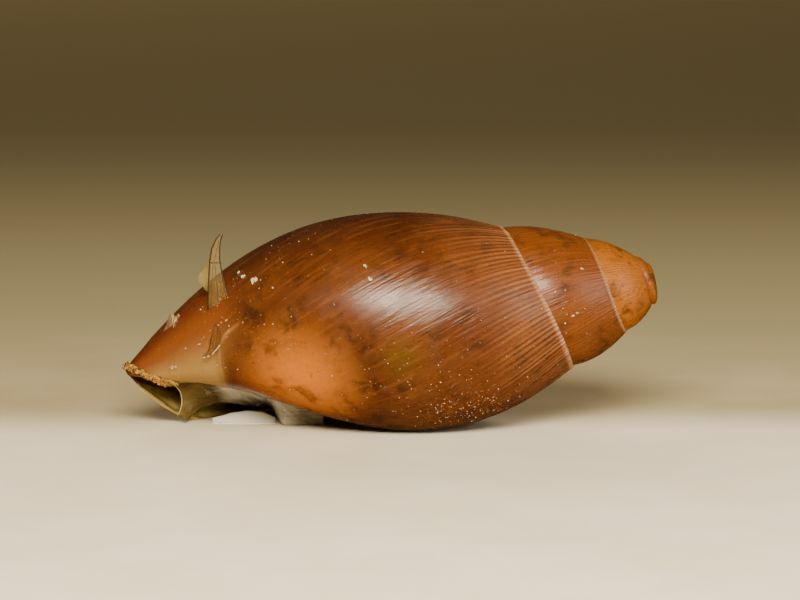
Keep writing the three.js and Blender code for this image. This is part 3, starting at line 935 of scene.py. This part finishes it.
def lump_shape():
    """The points and triangles of a ball made by splitting an octahedron twice."""
    points = [(1, 0, 0), (-1, 0, 0), (0, 1, 0), (0, -1, 0), (0, 0, 1), (0, 0, -1)]
    faces = [(0, 2, 4), (2, 1, 4), (1, 3, 4), (3, 0, 4), (2, 0, 5), (1, 2, 5), (3, 1, 5), (0, 3, 5)]
    points = [np.array(point, float) for point in points]
    for _ in range(2):
        middles, split = {}, []

        def between(a, b):
            key = (min(a, b), max(a, b))
            if key not in middles:
                middle = points[a] + points[b]
                points.append(middle / np.linalg.norm(middle))
                middles[key] = len(points) - 1
            return middles[key]

        for a, b, c in faces:
            ab, bc, ca = between(a, b), between(b, c), between(c, a)
            split += [(a, ab, ca), (ab, b, bc), (ca, bc, c), (ab, bc, ca)]
        faces = split
    return np.array(points), np.array(faces)


LUMP_POINTS, LUMP_FACES = lump_shape()


def lump(build, draw, middle, sizes, look=0):
    """One irregular grain about a middle, turned at random."""
    rough = 1.0 + 0.22 * draw.standard_normal(len(LUMP_POINTS))
    turn, _ = np.linalg.qr(draw.standard_normal((3, 3)))
    if np.linalg.det(turn) < 0.0:
        turn[:, 0] *= -1.0
    points = (LUMP_POINTS * np.clip(rough, 0.6, 1.4)[:, None] * np.asarray(sizes)) @ turn.T
    build.add(points + middle, LUMP_FACES, look)


CRUST_STAGES = (3.115, 3.49)
CRUST_GRAINS = 420


def crumb_piece():
    """Dirt caked along the front edge: a lumpy crust with loose grains on it."""
    build, draw = Build(), np.random.default_rng(41)
    run, back = np.meshgrid(np.linspace(0.0, 1.0, 110), np.linspace(0.0, 1.0, 20), indexing="ij")
    stage = lerp(*CRUST_STAGES, run)
    width = lerp(0.60, 0.24, smooth(run / 0.8)) + 0.08 * waves(42, 8.0, 40.0)(run * 6.0)
    along = foot_at(stage) - 0.02 - width * back
    edge = np.minimum.reduce([np.ones_like(run), 5.0 * (1.0 - back), 9.0 * run, 9.0 * (1.0 - run)])
    knobs = waves(43, 14.0, 60.0)(run * 4.0 + back) * waves(44, 6.0, 24.0)(back * 2.0 - run)
    outer = on_surface(stage, along, 0.03 + (0.10 + 0.10 * knobs) * np.clip(edge, 0.0, 1.0))
    slab(build, outer, 0.06, 0)
    for _ in range(CRUST_GRAINS):
        part = draw.uniform(0.02, 0.98) ** 1.4
        at = lerp(*CRUST_STAGES, part)
        back_from_edge = 0.03 + draw.uniform(0.0, 1.0) ** 1.2 * lerp(0.70, 0.26, part)
        reach = foot_at(np.array([at]))[0] - back_from_edge
        middle = on_surface(np.array([at]), np.array([reach]), draw.uniform(0.04, 0.20))[0]
        lump(build, draw, middle, draw.uniform(0.025, 0.065, 3), 1 if draw.uniform() < 0.25 else 0)
    looks = [
        crumb_look("crumb_crust", "#c8963c", "#96661e", "#55300f"),
        crumb_look("crumb_dark", "#74481a", "#3f240e", "#2a1608"),
    ]
    piece = build.object("front_crumb", looks)
    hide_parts("tip_crumb")
    return piece


# Whitish crumbs: stage, distance along the axis, and half sizes round, along and out.
CRUMBS = [
    (3.371, 13.48, 0.16, 0.11, 0.07),
    (3.352, 13.40, 0.12, 0.12, 0.06),
    (3.415, 18.66, 0.11, 0.20, 0.08),
    (3.437, 19.12, 0.07, 0.11, 0.05),
    (3.455, 19.33, 0.05, 0.08, 0.05),
    (3.385, 17.83, 0.05, 0.07, 0.04),
    (3.305, 23.22, 0.08, 0.16, 0.05),
    (3.300, 23.05, 0.05, 0.08, 0.04),
    (2.344, 3.63, 0.07, 0.07, 0.05),
    (2.238, 4.20, 0.05, 0.12, 0.04),
    (2.234, 4.42, 0.05, 0.10, 0.04),
    (3.425, 21.35, 0.05, 0.06, 0.04),
    (3.367, 20.24, 0.05, 0.07, 0.04),
    (3.352, 22.40, 0.04, 0.05, 0.03),
    (3.345, 21.75, 0.04, 0.05, 0.03),
]

# Where dust has settled: stage, distance along, spread in whorls and in millimetres, grains.
DUST_PATCHES = [
    (3.12, 10.0, 0.030, 1.3, 300),
    (3.19, 10.5, 0.050, 3.0, 120),
    (3.25, 16.0, 0.080, 3.5, 150),
    (3.36, 20.6, 0.050, 1.2, 90),
    (3.44, 17.5, 0.030, 2.5, 30),
    (2.25, 5.0, 0.060, 1.0, 45),
    (3.20, 5.2, 0.050, 1.2, 35),
    (3.44, 11.0, 0.060, 4.0, 20),
    (3.80, 13.0, 0.120, 5.0, 70),
    (3.60, 17.0, 0.080, 3.0, 20),
    (2.60, 5.0, 0.150, 1.0, 20),
]


DUST_BODY_STAGE = 2.95


def dust_piece():
    build, draw = Build(), np.random.default_rng(51)
    for stage, along, around, back, out in CRUMBS:
        for _ in range(3):
            spot = on_surface(
                np.array([stage + draw.uniform(-0.3, 0.3) * around / 25.0]),
                np.array([along + draw.uniform(-0.6, 0.6) * back]),
                out * 0.5,
            )[0]
            lump(build, draw, spot, np.array([around, back, out]) * draw.uniform(0.5, 0.8), 0)
    for stage, along, spread, reach, count in DUST_PATCHES:
        for _ in range(count):
            at = stage + spread * draw.standard_normal()
            place_along = along + reach * draw.standard_normal()
            low = seam_at(at) + 0.15
            high = foot_at(at) - 1.0 if at > DUST_BODY_STAGE else seam_at(at + 1.0) - 0.1
            if not low < place_along < high or abs(at - 3.9) < 0.06:
                continue
            size = 0.010 + 0.018 * draw.uniform() ** 3
            spot = on_surface(np.array([at]), np.array([place_along]), size * 0.4)[0]
            if spot[2] < GROUND + 0.1:
                continue
            sizes = size * draw.uniform(0.7, 1.5, 3)
            lump(build, draw, spot, sizes, 1 if draw.uniform() < 0.6 else 0)
    looks = [
        crumb_look("pale_grains", "#e6dcc4", "#c8b08a", "#a5885c"),
        crumb_look("tan_grains", "#d0a468", "#a87436", "#6a421c"),
    ]
    piece = build.object("dust_grains", looks)
    return piece


# ---- Camera, floor and light ----

CAMERA_DISTANCE = 200.0
PICTURE_WIDTH = 37.6
CAMERA_RISE = math.radians(8.28)
CAMERA_TURN = math.radians(-1.46)
# The apex stands this far from the picture's middle, in millimetres at its own distance.
APEX_RIGHT_OF_MIDDLE = 12.23
APEX_ABOVE_MIDDLE = 0.86
SENSOR = 36.0


def camera():
    turn = Matrix.Rotation(CAMERA_TURN, 3, "Z")
    forward = turn @ Vector((0.0, math.cos(CAMERA_RISE), -math.sin(CAMERA_RISE)))
    right = turn @ Vector((1.0, 0.0, 0.0))
    up = right.cross(forward)
    apex = Vector(SHIFT.tolist())
    middle = apex - right * APEX_RIGHT_OF_MIDDLE - up * APEX_ABOVE_MIDDLE
    eye = bpy.data.objects.new("camera", bpy.data.cameras.new("camera"))
    eye.data.sensor_width = SENSOR
    eye.data.lens = SENSOR * CAMERA_DISTANCE / PICTURE_WIDTH
    eye.data.clip_start = 0.001
    rotation = Matrix((right, up, -forward)).transposed().to_4x4()
    eye.matrix_world = Matrix.Translation((middle - forward * CAMERA_DISTANCE) * MM) @ rotation
    bpy.context.scene.collection.objects.link(eye)
    bpy.context.scene.camera = eye


def area_light(name, place_mm, target_mm, width_mm, height_mm, watts, colour):
    data = bpy.data.lights.new(name, "AREA")
    data.shape = "RECTANGLE"
    data.size = width_mm * MM
    data.size_y = height_mm * MM
    data.energy = watts
    data.color = colour
    lamp = bpy.data.objects.new(name, data)
    lamp.location = Vector(place_mm) * MM
    aim = Vector(target_mm) - Vector(place_mm)
    lamp.rotation_euler = aim.to_track_quat("-Z", "Y").to_euler()
    bpy.context.scene.collection.objects.link(lamp)
    return lamp


FLOOR_HALF = 400.0
WORLD_STRENGTH = 0.15


def floor():
    """A pale floor that darkens to olive behind the object."""
    look = Look("pale_floor", Roughness=0.8)
    here = look.here
    depth = look.node("ShaderNodeSeparateXYZ")
    look.put(depth.inputs[0], here)
    behind = depth.outputs["Y"]
    cloud = look.ramp(look.noise(here, 0.12, 5.0, 0.6), 0.3, 0.7)
    colour = look.mix(cloud, linear("#f0e4c6"), linear("#f8eed6"))
    under = look.mix(cloud, linear("#b5a47b"), linear("#c2b18a"))
    colour = look.mix(look.ramp(behind, -3.0, 5.0), colour, under)
    colour = look.mix(look.ramp(behind, 6.0, 40.0), colour, linear("#a99d74"))
    colour = look.mix(look.ramp(behind, 25.0, 140.0), colour, linear("#6f6344"))
    look.to("Base Color", colour)
    look.bump(look.noise(here, 1.5, 5.0, 0.6), 0.08, 0.4)
    build = Build()
    corners = FLOOR_HALF * np.array([[-1, -1, 0], [1, -1, 0], [1, 1, 0], [-1, 1, 0]])
    build.add(corners - SHIFT, [[0, 1, 2, 3]])
    ground = build.object("floor", [look.material])
    ground.visible_glossy = False


def surroundings():
    world = bpy.data.worlds.new("studio")
    world.use_nodes = True
    background = world.node_tree.nodes["Background"]
    background.inputs["Color"].default_value = linear("#a3926a")
    background.inputs["Strength"].default_value = WORLD_STRENGTH
    bpy.context.scene.world = world


def lights():
    """A warm key light in front, and weak lights for the spire's end and the far side."""
    middle = (0.0, 0.0, 4.0)
    key_at, key_target = (-2.0, -120.0, 84.0), (-1.0, 0.0, 4.0)
    area_light("key", key_at, key_target, 80.0, 44.0, 0.45, (1.0, 0.885, 0.7))
    area_light("side", (120.0, -60.0, 50.0), middle, 80.0, 80.0, 0.08, (1.0, 0.95, 0.88))
    back_at = (-120.0, 480.0, 300.0)
    back = area_light("back", back_at, middle, 260.0, 260.0, 1.5, (1.0, 0.9, 0.76))
    back.visible_glossy = False


camera()
floor()
surroundings()
lights()
for piece in (
    shell_piece(),
    film_piece(),
    flap_piece(),
    upright_wing_piece(),
    flat_wing_piece(),
    scrap_piece(),
    crumb_piece(),
    dust_piece(),
):
    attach(piece, "root")
